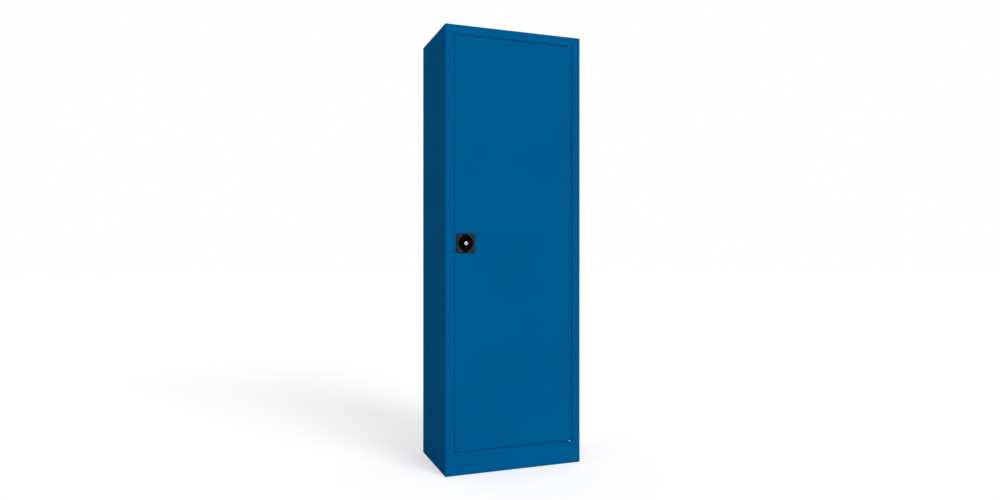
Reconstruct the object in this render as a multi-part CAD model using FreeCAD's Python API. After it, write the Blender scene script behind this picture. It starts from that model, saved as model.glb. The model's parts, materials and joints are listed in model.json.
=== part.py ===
import FreeCAD, Part
import math
import os

# A tall steel cabinet with one hinged door and a turn handle, in millimetres.
# +Z is up, the front faces -Y, +X is to the right as seen from the front.
# The origin is on the floor, under the middle of the overall box.
# Most places are given as x, depth behind the front face, and height z.

# Overall size
WIDTH = 640.0
DEPTH = 400.0
HEIGHT = 1950.0

# Sheet steel, folded tightly: sharp inside, and round outside by the bend radius
SHEET = 1.0
BEND = SHEET

# Clearances
RUN_GAP = 0.3
FIT_GAP = 0.05
HOLE_GAP = 0.25

# Front frame and carcass
STILE = 39.0
TOP_RAIL = 40.0
PLINTH = 100.0
STOP_LIP = 14.0
REAR_FLANGE = 20.0
SILL_DEPTH = 50.0
FOOT_FLANGE = 25.0
FLOOR_STEP = 12.0
BASE_LEG = 25.0

# Door pan: the gap above and below it, and at its two upright edges
DOOR_GAP = 3.0
LOCK_EDGE_GAP = 1.5
HINGE_EDGE_GAP = 3.5
DOOR_DEPTH = 25.0
DOOR_LIP = 15.0

# Rubber buffers between the door and the lip of the left stile
BUFFER_R = 5.5
BUFFER_THICK = 2.7
BUFFER_END_DISTANCE = 150.0

# Hat-shaped stiffener on the inside of the door
HAT_X = 35.0
HAT_TOP = 24.0
HAT_BASE = 38.0
HAT_FLANGE = 14.0
HAT_HEIGHT = 13.0
HAT_END_DISTANCE = 60.0

# Pivots of the door
PIVOT_INSET = 8.0
PIVOT_DEPTH = 6.0
PIN_R = 3.0
PIN_REACH = 20.0
PIN_FOOT = 2.0
BUSH_WALL = 0.95
BUSH_FLANGE_R = 5.5
BUSH_REACH = 10.0
PIVOT_PLATE_LENGTH = 40.0
PIVOT_PLATE_WIDTH = 20.0
PIVOT_PLATE = 2.0

# Glide on the sill that carries the free edge of the closed door
GLIDE_X_FROM_SIDE = 74.0
GLIDE_WIDTH = 18.0
GLIDE_START = 1.0
GLIDE_DEPTH = 6.5
GLIDE_RAMP = 2.0

# Handle plate with its dish
HANDLE = 85.0
HANDLE_FROM_DOOR_EDGE = 7.0
HANDLE_CORNER = 11.0
HANDLE_THICK = 4.0
HANDLE_EDGE = 2.0
DISH_R = 33.6
DISH_DEPTH = 7.0
CUP_WALL = 2.0
CUP_FLOOR = 5.0
BACKPLATE_MARGIN = 1.0
BACKPLATE = 2.0

# Turn knob
KNOB_GAP = 0.6
KNOB_BASE = 3.0
KNOB_RIM = 3.2
KNOB_RIM_WIDTH = 3.4
HUB_R = 12.0
HUB_HEIGHT = 8.7
GRIP_LENGTH = 80.0
GRIP_WIDTH = 22.0
GRIP_CORNER = 5.5
GRIP_DRAFT = 2.5
GRIP_HEIGHT = 7.7

# Lock barrel and plug
BARREL_R = 8.0
BARREL_LENGTH = 7.0
BARREL_PROUD = 1.0
PLUG_R = 6.0
PLUG_INSET = 0.3
KEY_SLOT_WIDTH = 3.0
KEY_SLOT_LENGTH = 9.0
KEY_SLOT_DEPTH = 4.0

# Spindle and what it turns
SPINDLE_R = 5.0
SPINDLE_SQUARE = 7.0
TENON = 4.0
STUD_R = 3.0
STUD_PROUD = 1.5
NUT_FLATS = 10.0
NUT = 5.0
CRANK_R = 20.0
CRANK_PIN_R = 3.0
CRANK_PIN_PROUD = 0.5
CRANK_REST = -45.0
CAM_THICK = 3.0
CAM_MARGIN = 4.0
CAM_CORNER = 4.0
CAM_CLEAR = 0.5
SPACER = 13.0
TONGUE_LENGTH = 48.0
TONGUE_WIDTH = 18.0
TONGUE_THICK = 3.0
TONGUE_CLEAR = 1.5
TONGUE_CORNER = 7.0

# Lock rods and their guides
ROD_WIDTH = 16.0
ROD_THICK = 4.0
ROD_CLEAR = 1.0
ROD_SETBACK = 0.5
ROD_TIP = 5.0
ROD_SLOT_GAP = 1.5
YOKE_WALL = 4.0
CRANK_SLOT_GAP = 0.8
GUIDE_FOOT = 42.0
GUIDE_FOOT_THICK = 2.5
GUIDE_WALL = 4.0
GUIDE_HEIGHT = 16.0
GUIDE_DRAFT = 2.0
GUIDE_FROM_LOCK = 130.0
GUIDE_FROM_END = 60.0

# Shelves, their rails and clips
SHELF_COUNT = 4
SHELF_CLEAR = 8.0
SHELF_FRONT_FLANGE = 30.0
SHELF_HEM = 12.0
SHELF_REAR_FLANGE = 25.0
SHELF_REAR_GAP = 4.0
SHELF_SIDE_GAP = 1.5
RAIL_WIDTH = 24.0
RAIL_STAND = 12.0
RAIL_INSET = 26.0
RAIL_END_DISTANCE = 30.0
SLOT_PITCH = 88.0
SLOT_HEIGHT = 6.0
SLOT_WIDTH = 16.0
CLIP_WIDTH = 14.0
CLIP_THICK = 2.0
CLIP_REACH = 18.0
CLIP_HOOK = 4.0
CLIP_DROP = 12.0

# Places that follow from the sizes above
LEFT_X = -WIDTH / 2
INNER_X = WIDTH / 2 - SHEET
OPENING_X = WIDTH / 2 - STILE
OPENING_TOP = HEIGHT - TOP_RAIL
DOOR_LEFT = LOCK_EDGE_GAP - OPENING_X
DOOR_RIGHT = OPENING_X - HINGE_EDGE_GAP
DOOR_BOTTOM = PLINTH + DOOR_GAP
DOOR_TOP = OPENING_TOP - DOOR_GAP
BACK_SKIN = DEPTH - SHEET
INNER_BACK = BACK_SKIN - SHEET
FLOOR_Z = PLINTH + FLOOR_STEP
STOP_DEPTH = DOOR_DEPTH + BUFFER_THICK + RUN_GAP

PIVOT_X = DOOR_RIGHT - PIVOT_INSET
BUSH_BORE_R = PIN_R + FIT_GAP
BUSH_R = BUSH_BORE_R + BUSH_WALL

LOCK_X = DOOR_LEFT + HANDLE_FROM_DOOR_EDGE + HANDLE / 2
LOCK_Z = (DOOR_BOTTOM + DOOR_TOP) / 2
DISH_FLOOR = DISH_DEPTH - HANDLE_THICK
CUP_BACK = DISH_FLOOR + CUP_FLOOR
CUP_R = DISH_R + CUP_WALL
KNOB_BACK = DISH_FLOOR - RUN_GAP
KNOB_FLOOR = KNOB_BACK - KNOB_BASE
HUB_FRONT = KNOB_FLOOR - HUB_HEIGHT
BARREL_FRONT = HUB_FRONT - BARREL_PROUD
BARREL_BACK = BARREL_FRONT + BARREL_LENGTH
ROD_FRONT = CUP_BACK + ROD_CLEAR
ROD_BACK = ROD_FRONT + ROD_THICK
CAM_FRONT = ROD_BACK + CAM_CLEAR
CAM_BACK = CAM_FRONT + CAM_THICK
TONGUE_FRONT = STOP_DEPTH + SHEET + TONGUE_CLEAR
TONGUE_BACK = TONGUE_FRONT + TONGUE_THICK
STUD_BACK = TONGUE_BACK + NUT + STUD_PROUD
CRANK_SINE = CRANK_R * math.sin(math.radians(abs(CRANK_REST)))
CRANK_COSINE = CRANK_R * math.cos(math.radians(CRANK_REST))
ROD_OFFSET = (CRANK_R + CRANK_COSINE) / 2

SHELF_FRONT = STUD_BACK + SHELF_CLEAR
SHELF_BACK = INNER_BACK - SHELF_REAR_GAP
RAIL_FACE_X = INNER_X - RAIL_STAND
SHELF_X = RAIL_FACE_X - SHELF_SIDE_GAP
RAIL_BOTTOM = FLOOR_Z + RAIL_END_DISTANCE
RAIL_TOP = HEIGHT - SHEET - RAIL_END_DISTANCE
RAIL_DEPTHS = {"front": SHELF_FRONT + RAIL_INSET, "rear": SHELF_BACK - RAIL_INSET - RAIL_WIDTH}
SLOTS = int((RAIL_TOP - RAIL_BOTTOM) / SLOT_PITCH)

FRONT_Y = -(DEPTH + BARREL_FRONT) / 2
ACROSS = FreeCAD.Vector(1, 0, 0)
BACKWARD = FreeCAD.Vector(0, 1, 0)
UP = FreeCAD.Vector(0, 0, 1)
TOUCHING = 1e-6


def at(x, depth, z):
    """The point at a place across the cabinet, a depth behind its front face and a height."""
    return FreeCAD.Vector(x, FRONT_Y + depth, z)


def block(low, high):
    """A box between two corners."""
    size = at(*high) - at(*low)
    return Part.makeBox(size.x, size.y, size.z, at(*low))


def pin(radius, x, z, front, back):
    """A round bar that runs from front to back."""
    return Part.makeCylinder(radius, back - front, at(x, front, z), BACKWARD)


def post(radius, x, depth, bottom, top):
    """A round bar that stands upright."""
    return Part.makeCylinder(radius, top - bottom, at(x, depth, bottom), UP)


def corner(before, point, after, radius):
    """Where a rounded corner starts, its middle, and where it ends."""
    into = (point - before).normalize()
    out = (after - point).normalize()
    half_turn = into.getAngle(out) / 2
    reach = radius * math.tan(half_turn)
    inward = (out - into).normalize() * (radius / math.cos(half_turn) - radius)
    return point - into * reach, point + inward, point + out * reach


def rounded_wire(points, radii):
    """A closed flat outline with each corner rounded by its own radius."""
    count = len(points)
    after = points[1:] + points[:1]
    corners = [corner(points[i - 1], points[i], after[i], radii[i]) for i in range(count)]
    edges = []
    for i, (start, middle, end) in enumerate(corners):
        if radii[i] > 0:
            edges.append(Part.Arc(start, middle, end).toShape())
        following = corners[(i + 1) % count][0]
        if (following - end).Length > TOUCHING:
            edges.append(Part.makeLine(end, following))
    return Part.Wire(edges)


def polygon(points):
    """A flat face with sharp corners."""
    return Part.Face(Part.makePolygon(points + points[:1]))


def rounded_face(points, radii):
    """A flat face with each corner rounded by its own radius."""
    return Part.Face(rounded_wire(points, radii))


def rectangle(x, z, width, height, depth, radius):
    """An upright rounded rectangle about a middle point."""
    places = [(-1, -1), (1, -1), (1, 1), (-1, 1)]
    points = [at(x + i * width / 2, depth, z + j * height / 2) for i, j in places]
    return rounded_wire(points, [radius] * 4)


def plate(x, z, width, height, front, back, radius):
    """A flat plate with rounded corners, parallel to the door."""
    return Part.Face(rectangle(x, z, width, height, front, radius)).extrude(BACKWARD * (back - front))


def folded(path, normal, length):
    """Bent sheet whose show face follows a path, thick on the path's left, drawn out along a normal."""
    steps = [(b - a).normalize() for a, b in zip(path, path[1:])]
    lefts = [normal.cross(step) for step in steps]
    inner = [path[0] + lefts[0] * SHEET]
    show_radii, inner_radii = [0], [0]
    for i in range(1, len(steps)):
        square = 1 + steps[i - 1].dot(steps[i])
        inner.append(path[i] + (lefts[i - 1] + lefts[i]) * (SHEET / square))
        turns_left = steps[i - 1].cross(steps[i]).dot(normal) > 0
        show_radii.append(BEND if turns_left else 0)
        inner_radii.append(0 if turns_left else BEND)
    inner.append(path[-1] + lefts[-1] * SHEET)
    points = path + inner[::-1]
    radii = show_radii + [0, 0] + inner_radii[::-1]
    return rounded_face(points, radii).extrude(normal * length)


def folded_across(places, half_width):
    """Bent sheet drawn out across the cabinet, from depth and height places on its show face."""
    return folded([at(-half_width, depth, z) for depth, z in places], ACROSS, 2 * half_width)


def folded_upright(places, bottom, top):
    """Bent sheet drawn out upwards, from x and depth places on its show face."""
    return folded([at(x, depth, bottom) for x, depth in places], UP, top - bottom)


def turned(places, x, z):
    """A solid of revolution about an axis that runs front to back, from places of radius and depth."""
    points = [at(x + radius, depth, z) for radius, depth in places]
    return polygon(points).revolve(at(x, 0, z), BACKWARD, 360)


def front_edges(shape, depth):
    """The edges of a shape that lie in one upright plane at a depth."""
    y = FRONT_Y + depth
    boxes = [(edge, edge.BoundBox) for edge in shape.Edges]
    return [edge for edge, box in boxes if max(abs(box.YMin - y), abs(box.YMax - y)) < TOUCHING]


def mirrored(shape):
    """The same piece for the other side of the cabinet."""
    return shape.mirror(FreeCAD.Vector(0, 0, 0), ACROSS)


def both_sides(shape):
    """A shape and its mirror image, as cutters for both ends of a sheet."""
    return [shape, mirrored(shape)]


# Carcass


def side_panel():
    """The left side: rear flange, side, stile, return and the lip that the door closes against."""
    edge = LEFT_X + STILE
    places = [
        (LEFT_X + REAR_FLANGE, DEPTH),
        (LEFT_X, DEPTH),
        (LEFT_X, 0),
        (edge, 0),
        (edge, STOP_DEPTH),
        (edge + STOP_LIP, STOP_DEPTH),
    ]
    panel = folded_upright(places, 0, HEIGHT)
    below = block((edge - BEND, 0, 0), (edge + STOP_LIP, STOP_DEPTH + SHEET, PLINTH))
    above = block((edge - BEND, 0, OPENING_TOP), (edge + STOP_LIP, STOP_DEPTH + SHEET, HEIGHT))
    return panel.cut([below, above])


def stile_corners(bottom, top):
    """The room that the stiles take up at the ends of a rail."""
    return both_sides(block((LEFT_X, 0, bottom), (LEFT_X + STILE - BEND, SHEET, top)))


def rod_slot(side, bottom, top):
    """A slot for the end of a lock rod through flat sheet."""
    x = LOCK_X + side * ROD_OFFSET
    half = ROD_WIDTH / 2 + ROD_SLOT_GAP
    return block((x - half, ROD_FRONT - ROD_SLOT_GAP, bottom), (x + half, ROD_BACK + ROD_SLOT_GAP, top))


def top_panel():
    """The top sheet with the top rail and its return at the front, and a rear flange."""
    places = [
        (INNER_BACK, HEIGHT - REAR_FLANGE),
        (INNER_BACK, HEIGHT),
        (0, HEIGHT),
        (0, OPENING_TOP),
        (STOP_DEPTH, OPENING_TOP),
    ]
    cuts = stile_corners(OPENING_TOP, HEIGHT)
    cuts.append(rod_slot(1, OPENING_TOP, OPENING_TOP + SHEET))
    cuts.append(post(PIN_R + HOLE_GAP, PIVOT_X, PIVOT_DEPTH, OPENING_TOP, OPENING_TOP + SHEET))
    return folded_across(places, INNER_X).cut(cuts)


def upper_stop_angle():
    """The angle welded on the top rail's return behind the pivot pin's foot, with the upper stop lip."""
    seat = OPENING_TOP + SHEET
    front = SHEET + PIVOT_PLATE_WIDTH + RUN_GAP
    places = [(front, seat), (STOP_DEPTH, seat), (STOP_DEPTH, OPENING_TOP - STOP_LIP)]
    return folded_across(places, OPENING_X - STOP_LIP)


def front_plinth():
    """The plinth with the sill folded back at its top and a foot flange at its bottom."""
    places = [(SILL_DEPTH, PLINTH), (0, PLINTH), (0, 0), (FOOT_FLANGE, 0)]
    cuts = stile_corners(0, PLINTH)
    cuts.append(rod_slot(-1, PLINTH - SHEET, PLINTH))
    cuts.append(post(PIN_R + HOLE_GAP, PIVOT_X, PIVOT_DEPTH, PLINTH - SHEET, PLINTH))
    return folded_across(places, INNER_X).cut(cuts)


def bottom_panel():
    """The cabinet floor, with a front flange that is the lower stop lip and stands on the sill."""
    places = [
        (INNER_BACK, FLOOR_Z - REAR_FLANGE),
        (INNER_BACK, FLOOR_Z),
        (STOP_DEPTH, FLOOR_Z),
        (STOP_DEPTH, PLINTH),
    ]
    lip_corner = block((LEFT_X, 0, PLINTH), (STOP_LIP - OPENING_X, STOP_DEPTH + SHEET, FLOOR_Z))
    return folded_across(places, INNER_X).cut(both_sides(lip_corner))


def back_panel():
    """The flat rear sheet, held inside the rear flanges of the sides."""
    return block((-INNER_X, INNER_BACK, 0), (INNER_X, BACK_SKIN, HEIGHT))


def side_base_angle():
    """The angle along the foot of the left side."""
    front = FOOT_FLANGE + HOLE_GAP
    back = INNER_BACK - BASE_LEG - HOLE_GAP
    places = [(-INNER_X, BASE_LEG), (-INNER_X, 0), (BASE_LEG - INNER_X, 0)]
    path = [at(x, back, z) for x, z in places]
    return folded(path, -BACKWARD, back - front)


def rear_base_angle():
    """The angle along the foot of the back panel."""
    return folded_across([(INNER_BACK - BASE_LEG, 0), (INNER_BACK, 0), (INNER_BACK, BASE_LEG)], INNER_X)


# Shelves


def slot_height(number):
    """The middle of a rail slot, counted from the lowest."""
    return RAIL_BOTTOM + (number + 0.5) * SLOT_PITCH


def shelf_heights():
    """The top face of each shelf, the same number of rail slots apart."""
    step = SLOTS // (SHELF_COUNT + 1)
    lift = CLIP_THICK / 2 + SHEET
    return [slot_height(step * (number + 1) - 1) + lift for number in range(SHELF_COUNT)]


def shelf_rail(depth):
    """A slotted channel on the left side that the shelf clips hook into."""
    places = [
        (-INNER_X, depth),
        (-RAIL_FACE_X, depth),
        (-RAIL_FACE_X, depth + RAIL_WIDTH),
        (-INNER_X, depth + RAIL_WIDTH),
    ]
    channel = folded_upright(places, RAIL_BOTTOM, RAIL_TOP)
    middle = depth + RAIL_WIDTH / 2
    slots = []
    for number in range(SLOTS):
        z = slot_height(number)
        low = (-RAIL_FACE_X - SHEET, middle - SLOT_WIDTH / 2, z - SLOT_HEIGHT / 2)
        high = (-RAIL_FACE_X, middle + SLOT_WIDTH / 2, z + SLOT_HEIGHT / 2)
        slots.append(block(low, high))
    return channel.cut(slots)


def shelf(top):
    """A shelf with a hemmed front flange and a rear flange."""
    places = [
        (SHELF_BACK, top - SHELF_REAR_FLANGE),
        (SHELF_BACK, top),
        (SHELF_FRONT, top),
        (SHELF_FRONT, top - SHELF_FRONT_FLANGE),
        (SHELF_FRONT + SHELF_HEM, top - SHELF_FRONT_FLANGE),
    ]
    return folded_across(places, SHELF_X)


def shelf_clip(depth, top):
    """A clip on a left rail: a hook through the slot, a ledge under the shelf and a tab down the rail."""
    middle = depth + RAIL_WIDTH / 2
    near = middle - CLIP_WIDTH / 2
    ledge_top = top - SHEET
    ledge_low = ledge_top - CLIP_THICK
    hook = -RAIL_FACE_X - CLIP_HOOK
    face = -RAIL_FACE_X
    end = face + CLIP_REACH
    drop = ledge_low - CLIP_DROP
    places = [
        (hook, ledge_low),
        (face, ledge_low),
        (face, drop),
        (face + CLIP_THICK, drop),
        (face + CLIP_THICK, ledge_low),
        (end, ledge_low),
        (end, ledge_top),
        (hook, ledge_top),
    ]
    points = [at(x, near, z) for x, z in places]
    return polygon(points).extrude(BACKWARD * CLIP_WIDTH)


def shelf_clips():
    """Four clips for each shelf."""
    left = [shelf_clip(depth, top) for top in shelf_heights() for depth in RAIL_DEPTHS.values()]
    return Part.makeCompound(left + [mirrored(clip) for clip in left])


# Door


def door_slab(inset, front, back):
    """The room inside the door's outline, inset from it."""
    low = (DOOR_LEFT + inset, front, DOOR_BOTTOM + inset)
    high = (DOOR_RIGHT - inset, back, DOOR_TOP - inset)
    return block(low, high)


def door_panel():
    """The folded door pan, with holes for the handle, the rods and the pivots."""
    lips = DOOR_DEPTH - SHEET
    skin = door_slab(0, 0, DOOR_DEPTH)
    skin = skin.makeFillet(BEND, front_edges(skin, 0))
    cuts = [door_slab(SHEET, SHEET, lips), door_slab(DOOR_LIP, lips, DOOR_DEPTH)]
    cuts.append(pin(CUP_R + HOLE_GAP, LOCK_X, LOCK_Z, 0, SHEET))
    cuts.append(rod_slot(1, DOOR_TOP - SHEET, DOOR_TOP))
    cuts.append(rod_slot(-1, DOOR_BOTTOM, DOOR_BOTTOM + SHEET))
    cuts.append(post(BUSH_R + FIT_GAP, PIVOT_X, PIVOT_DEPTH, DOOR_TOP - SHEET, DOOR_TOP))
    cuts.append(post(BUSH_R + FIT_GAP, PIVOT_X, PIVOT_DEPTH, DOOR_BOTTOM, DOOR_BOTTOM + SHEET))
    return skin.cut(cuts)


def door_stiffener():
    """An upright hat section on the inside of the door's skin."""
    outer = HAT_BASE / 2 + HAT_FLANGE
    places = [
        (HAT_X - outer, SHEET),
        (HAT_X - HAT_BASE / 2, SHEET),
        (HAT_X - HAT_TOP / 2, SHEET + HAT_HEIGHT),
        (HAT_X + HAT_TOP / 2, SHEET + HAT_HEIGHT),
        (HAT_X + HAT_BASE / 2, SHEET),
        (HAT_X + outer, SHEET),
    ]
    return folded_upright(places, DOOR_BOTTOM + HAT_END_DISTANCE, DOOR_TOP - HAT_END_DISTANCE)


def both_ends(shape):
    """A piece of the door's lower end and the same piece turned upside down at its upper end."""
    return Part.makeCompound([shape, shape.mirror(at(0, 0, LOCK_Z), UP)])


def pivot_sheet(low, thickness):
    """A small plate behind the front bend, round the axis of the door."""
    right = DOOR_RIGHT - SHEET
    left = right - PIVOT_PLATE_LENGTH
    return block((left, SHEET, low), (right, SHEET + PIVOT_PLATE_WIDTH, low + thickness))


def pivot_pin():
    """The lower pivot pin on its foot plate under the sill."""
    low = PLINTH - SHEET - PIN_FOOT
    shank = post(PIN_R, PIVOT_X, PIVOT_DEPTH, low, DOOR_BOTTOM + PIN_REACH)
    return pivot_sheet(low, PIN_FOOT).fuse(shank).removeSplitter()


def pivot_bush():
    """The flanged bush in the door's lower return, which runs on the sill."""
    low = PLINTH + RUN_GAP
    high = DOOR_BOTTOM + BUSH_REACH
    flange = post(BUSH_FLANGE_R, PIVOT_X, PIVOT_DEPTH, low, DOOR_BOTTOM)
    sleeve = post(BUSH_R, PIVOT_X, PIVOT_DEPTH, low, high)
    bore = post(BUSH_BORE_R, PIVOT_X, PIVOT_DEPTH, low, high)
    return flange.fuse(sleeve).cut(bore).removeSplitter()


def pivot_plate():
    """The plate that stiffens the door's lower return round the bush."""
    low = DOOR_BOTTOM + SHEET
    hole = post(BUSH_R + FIT_GAP, PIVOT_X, PIVOT_DEPTH, low, low + PIVOT_PLATE)
    return pivot_sheet(low, PIVOT_PLATE).cut(hole)


def door_buffers():
    """Rubber buffers on the lip of the left stile."""
    x = STOP_LIP / 2 - OPENING_X
    front = STOP_DEPTH - BUFFER_THICK
    low = DOOR_BOTTOM + BUFFER_END_DISTANCE
    middle = LOCK_Z - BUFFER_END_DISTANCE
    high = DOOR_TOP - BUFFER_END_DISTANCE
    return Part.makeCompound([pin(BUFFER_R, x, z, front, STOP_DEPTH) for z in (low, middle, high)])


def door_glide():
    """A ramped pad on the sill, in front of the slot for the lower rod."""
    x = LEFT_X + GLIDE_X_FROM_SIDE - GLIDE_WIDTH / 2
    top = DOOR_BOTTOM - RUN_GAP
    back = GLIDE_START + GLIDE_DEPTH
    places = [(GLIDE_START, PLINTH), (back, PLINTH), (back, top), (GLIDE_START + GLIDE_RAMP, top)]
    points = [at(x, depth, z) for depth, z in places]
    return polygon(points).extrude(ACROSS * GLIDE_WIDTH)


# Handle and lock


def square_bar(size, front, back):
    """A square bar on the lock's axis."""
    return plate(LOCK_X, LOCK_Z, size, size, front, back, 0)


def spindle_hole(front, back):
    """The square hole that a piece on the spindle has."""
    return square_bar(SPINDLE_SQUARE + 2 * FIT_GAP, front, back)


def handle_plate():
    """The square plate on the door's face, with a round dish set into the door that carries the spindle."""
    front = -HANDLE_THICK
    face = plate(LOCK_X, LOCK_Z, HANDLE, HANDLE, front, 0, HANDLE_CORNER)
    face = face.makeChamfer(HANDLE_EDGE, front_edges(face, front))
    cup = pin(CUP_R, LOCK_X, LOCK_Z, front + HANDLE_EDGE, CUP_BACK)
    dish = pin(DISH_R, LOCK_X, LOCK_Z, front, DISH_FLOOR)
    bore = pin(SPINDLE_R + FIT_GAP, LOCK_X, LOCK_Z, DISH_FLOOR, CUP_BACK)
    return face.fuse(cup).cut([dish, bore]).removeSplitter()


def handle_backplate():
    """The square steel frame inside the door that the handle plate is clamped to."""
    back = SHEET + BACKPLATE
    frame = square_bar(HANDLE + 2 * BACKPLATE_MARGIN, SHEET, back)
    return frame.cut(square_bar(2 * (CUP_R + HOLE_GAP), SHEET, back))


def grip_outline(inset, depth):
    """The long outline of the knob's grip bar with its rounded corners, inset from its foot."""
    width = GRIP_WIDTH - 2 * inset
    return rectangle(LOCK_X, LOCK_Z, width, GRIP_LENGTH - 2 * inset, depth, GRIP_CORNER - inset)


def grip_bar(radius):
    """The grip bar, which reaches over the face of the plate outside the knob's own radius."""
    foot = grip_outline(0, KNOB_BACK - KNOB_BASE / 2)
    ridge = grip_outline(GRIP_DRAFT, KNOB_FLOOR - GRIP_HEIGHT)
    underside = -HANDLE_THICK - RUN_GAP
    clear = pin(GRIP_LENGTH, LOCK_X, LOCK_Z, underside, KNOB_BACK)
    clear = clear.cut(pin(radius, LOCK_X, LOCK_Z, underside, KNOB_BACK))
    return Part.makeLoft([foot, ridge], True, True).cut(clear)


def turn_knob():
    """A round knob with a finger bowl, a long grip bar across it and a hub that holds the lock barrel."""
    radius = DISH_R - KNOB_GAP
    rim = KNOB_FLOOR - KNOB_RIM
    rim_inner = radius - KNOB_RIM_WIDTH
    places = [
        (0, KNOB_BACK),
        (radius, KNOB_BACK),
        (radius, rim),
        (rim_inner, rim),
        (rim_inner, KNOB_FLOOR),
        (HUB_R, KNOB_FLOOR),
        (HUB_R, HUB_FRONT),
        (0, HUB_FRONT),
    ]
    body = turned(places, LOCK_X, LOCK_Z)
    pocket = pin(BARREL_R + FIT_GAP, LOCK_X, LOCK_Z, HUB_FRONT, BARREL_BACK)
    socket = spindle_hole(KNOB_BACK - TENON, KNOB_BACK)
    return body.fuse(grip_bar(radius)).cut([pocket, socket]).removeSplitter()


def lock_barrel():
    """The fixed sleeve of the key lock, standing a little out of the knob's hub."""
    sleeve = pin(BARREL_R, LOCK_X, LOCK_Z, BARREL_FRONT, BARREL_BACK)
    return sleeve.cut(pin(PLUG_R + FIT_GAP, LOCK_X, LOCK_Z, BARREL_FRONT, BARREL_BACK))


def lock_plug():
    """The turning plug of the key lock, with an upright key slot."""
    front = BARREL_FRONT + PLUG_INSET
    end = front + KEY_SLOT_DEPTH
    plug = pin(PLUG_R, LOCK_X, LOCK_Z, front, BARREL_BACK - RUN_GAP)
    return plug.cut(plate(LOCK_X, LOCK_Z, KEY_SLOT_WIDTH, KEY_SLOT_LENGTH, front, end, 0))


def spindle():
    """The shaft behind the knob: a tenon, a round journal, a square for the cam and tongue, and a stud."""
    tenon = square_bar(SPINDLE_SQUARE, KNOB_BACK - TENON, KNOB_BACK)
    journal = pin(SPINDLE_R, LOCK_X, LOCK_Z, KNOB_BACK, CAM_FRONT)
    square = square_bar(SPINDLE_SQUARE, CAM_FRONT, TONGUE_BACK)
    stud = pin(STUD_R, LOCK_X, LOCK_Z, TONGUE_BACK, STUD_BACK)
    return tenon.fuse([journal, square, stud])


def spindle_cam():
    """The double crank that drives the rods, with a pin at each end."""
    width = 2 * (SPINDLE_SQUARE / 2 + CAM_MARGIN) + CAM_MARGIN
    length = 2 * (CRANK_R + CRANK_PIN_R + CAM_MARGIN)
    lever = plate(LOCK_X, LOCK_Z, length, width, CAM_FRONT, CAM_BACK, CAM_CORNER)
    pin_front = ROD_FRONT - CRANK_PIN_PROUD
    places = (LOCK_X - CRANK_R, LOCK_X + CRANK_R)
    cam = lever.fuse([pin(CRANK_PIN_R, x, LOCK_Z, pin_front, CAM_FRONT) for x in places])
    cam.rotate(at(LOCK_X, 0, LOCK_Z), -BACKWARD, CRANK_REST)
    return cam.cut(spindle_hole(CAM_FRONT, CAM_BACK))


def spacer_sleeve():
    """The square sleeve on the spindle between the cam and the tongue."""
    return square_bar(SPACER, CAM_BACK, TONGUE_FRONT).cut(spindle_hole(CAM_BACK, TONGUE_FRONT))


def latch_tongue():
    """The arm that swings from upright to behind the lip of the left stile."""
    half = TONGUE_WIDTH / 2
    places = [(-half, -half), (half, -half), (half, TONGUE_LENGTH), (-half, TONGUE_LENGTH)]
    points = [at(LOCK_X + u, TONGUE_FRONT, LOCK_Z + w) for u, w in places]
    arm = rounded_face(points, [0, 0, TONGUE_CORNER, TONGUE_CORNER]).extrude(BACKWARD * TONGUE_THICK)
    return arm.cut(spindle_hole(TONGUE_FRONT, TONGUE_BACK))


def spindle_nut():
    """The hexagon nut that holds the tongue on the spindle."""
    reach = NUT_FLATS / math.sqrt(3)
    angles = [math.radians(60 * i) for i in range(6)]
    points = [at(LOCK_X + reach * math.cos(a), TONGUE_BACK, LOCK_Z + reach * math.sin(a)) for a in angles]
    nut = polygon(points).extrude(BACKWARD * NUT)
    return nut.cut(pin(STUD_R + FIT_GAP, LOCK_X, LOCK_Z, TONGUE_BACK, TONGUE_BACK + NUT))


def lock_rod(side):
    """A flat rod with a slotted yoke for a drive pin; side is 1 for the upper rod, -1 for the lower."""
    slot_half = (CRANK_R - CRANK_COSINE) / 2 + CRANK_PIN_R + CRANK_SLOT_GAP
    slot_rise = CRANK_PIN_R + CRANK_SLOT_GAP
    yoke = slot_half + YOKE_WALL
    bar = ROD_WIDTH / 2
    low = -CRANK_SINE - slot_rise - YOKE_WALL
    high = -CRANK_SINE + slot_rise + YOKE_WALL
    reach = (DOOR_TOP - DOOR_BOTTOM) / 2 - ROD_SETBACK
    places = [
        (-yoke, low),
        (yoke, low),
        (yoke, high),
        (bar, high + YOKE_WALL),
        (bar, reach - ROD_TIP),
        (bar - ROD_TIP, reach),
        (ROD_TIP - bar, reach),
        (-bar, reach - ROD_TIP),
        (-bar, high + YOKE_WALL),
        (-yoke, high),
    ]
    x = LOCK_X + side * ROD_OFFSET
    points = [at(x + side * u, ROD_FRONT, LOCK_Z + side * w) for u, w in places]
    rod = polygon(points).extrude(BACKWARD * ROD_THICK)
    z = LOCK_Z - side * CRANK_SINE
    return rod.cut(plate(x, z, 2 * slot_half, 2 * slot_rise, ROD_FRONT, ROD_BACK, CRANK_PIN_R))


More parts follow.
